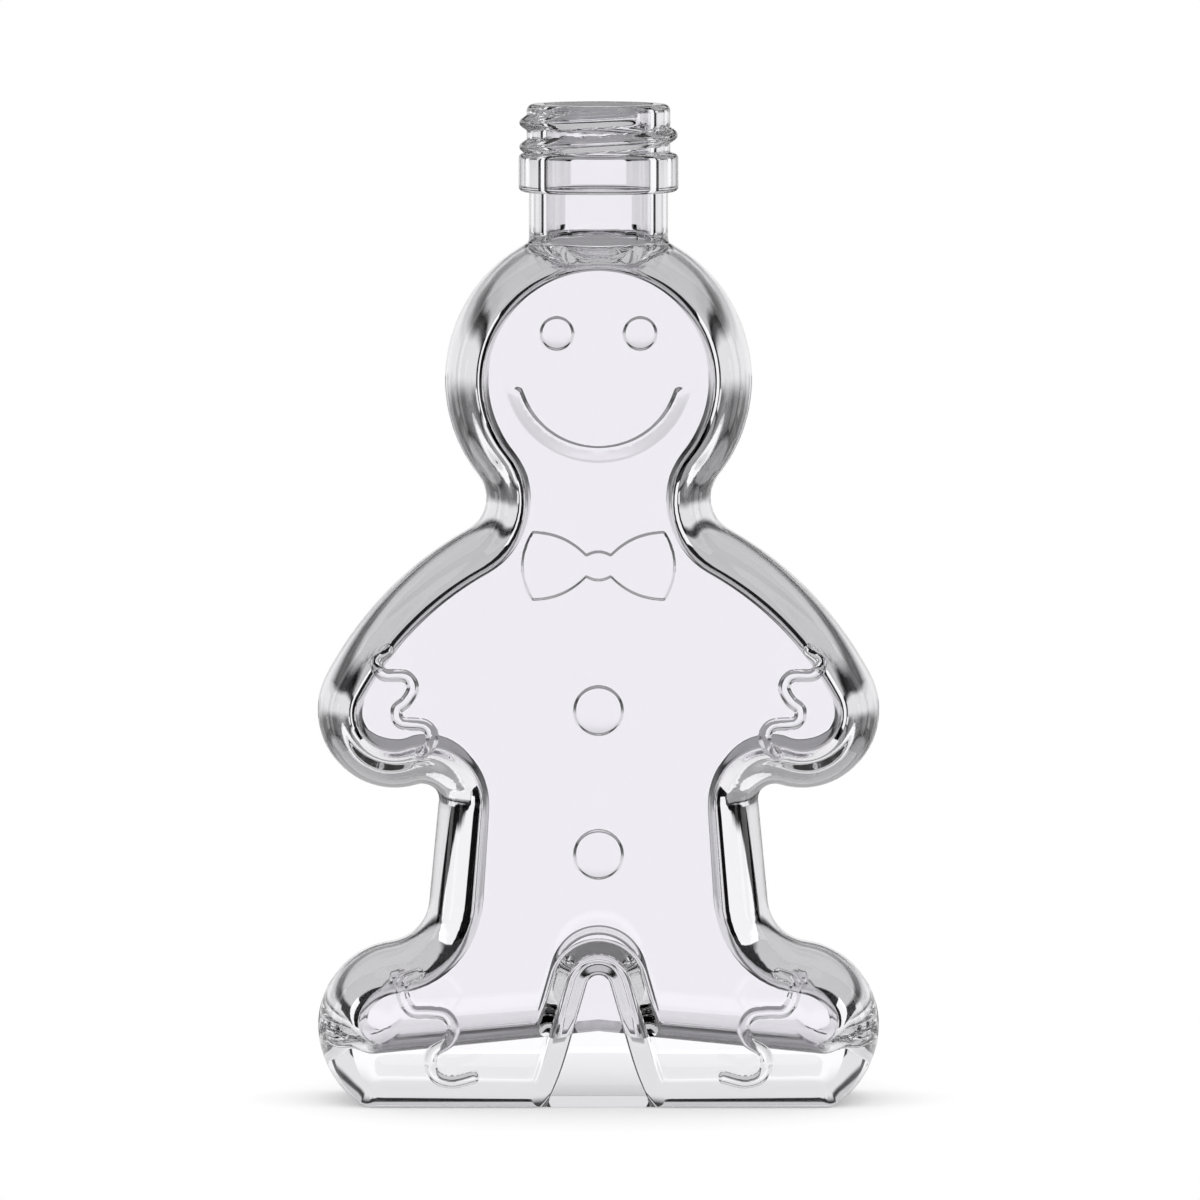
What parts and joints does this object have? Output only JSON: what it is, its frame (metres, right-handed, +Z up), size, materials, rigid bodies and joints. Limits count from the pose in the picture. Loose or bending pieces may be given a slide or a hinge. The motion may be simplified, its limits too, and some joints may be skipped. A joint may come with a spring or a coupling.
{
  "type": "gingerbread man bottle",
  "caption": "Flat hollow bottle of clear glass in the shape of a gingerbread man, with a raised face, bow tie, buttons and cuffs and a threaded neck for a screw cap.",
  "frame": {"origin": "middle of the flat base, on the surface that the bottle stands on", "axes": "+Z up the neck, -Y out of the figure's face, +X to the right of a viewer who looks at the face"},
  "size_m": [0.0988, 0.0349, 0.175],
  "materials": {
    "clear_glass": "gloss"
  },
  "bodies": {
    "root": {"glass_bottle": "clear_glass"}
  },
  "joints": []
}
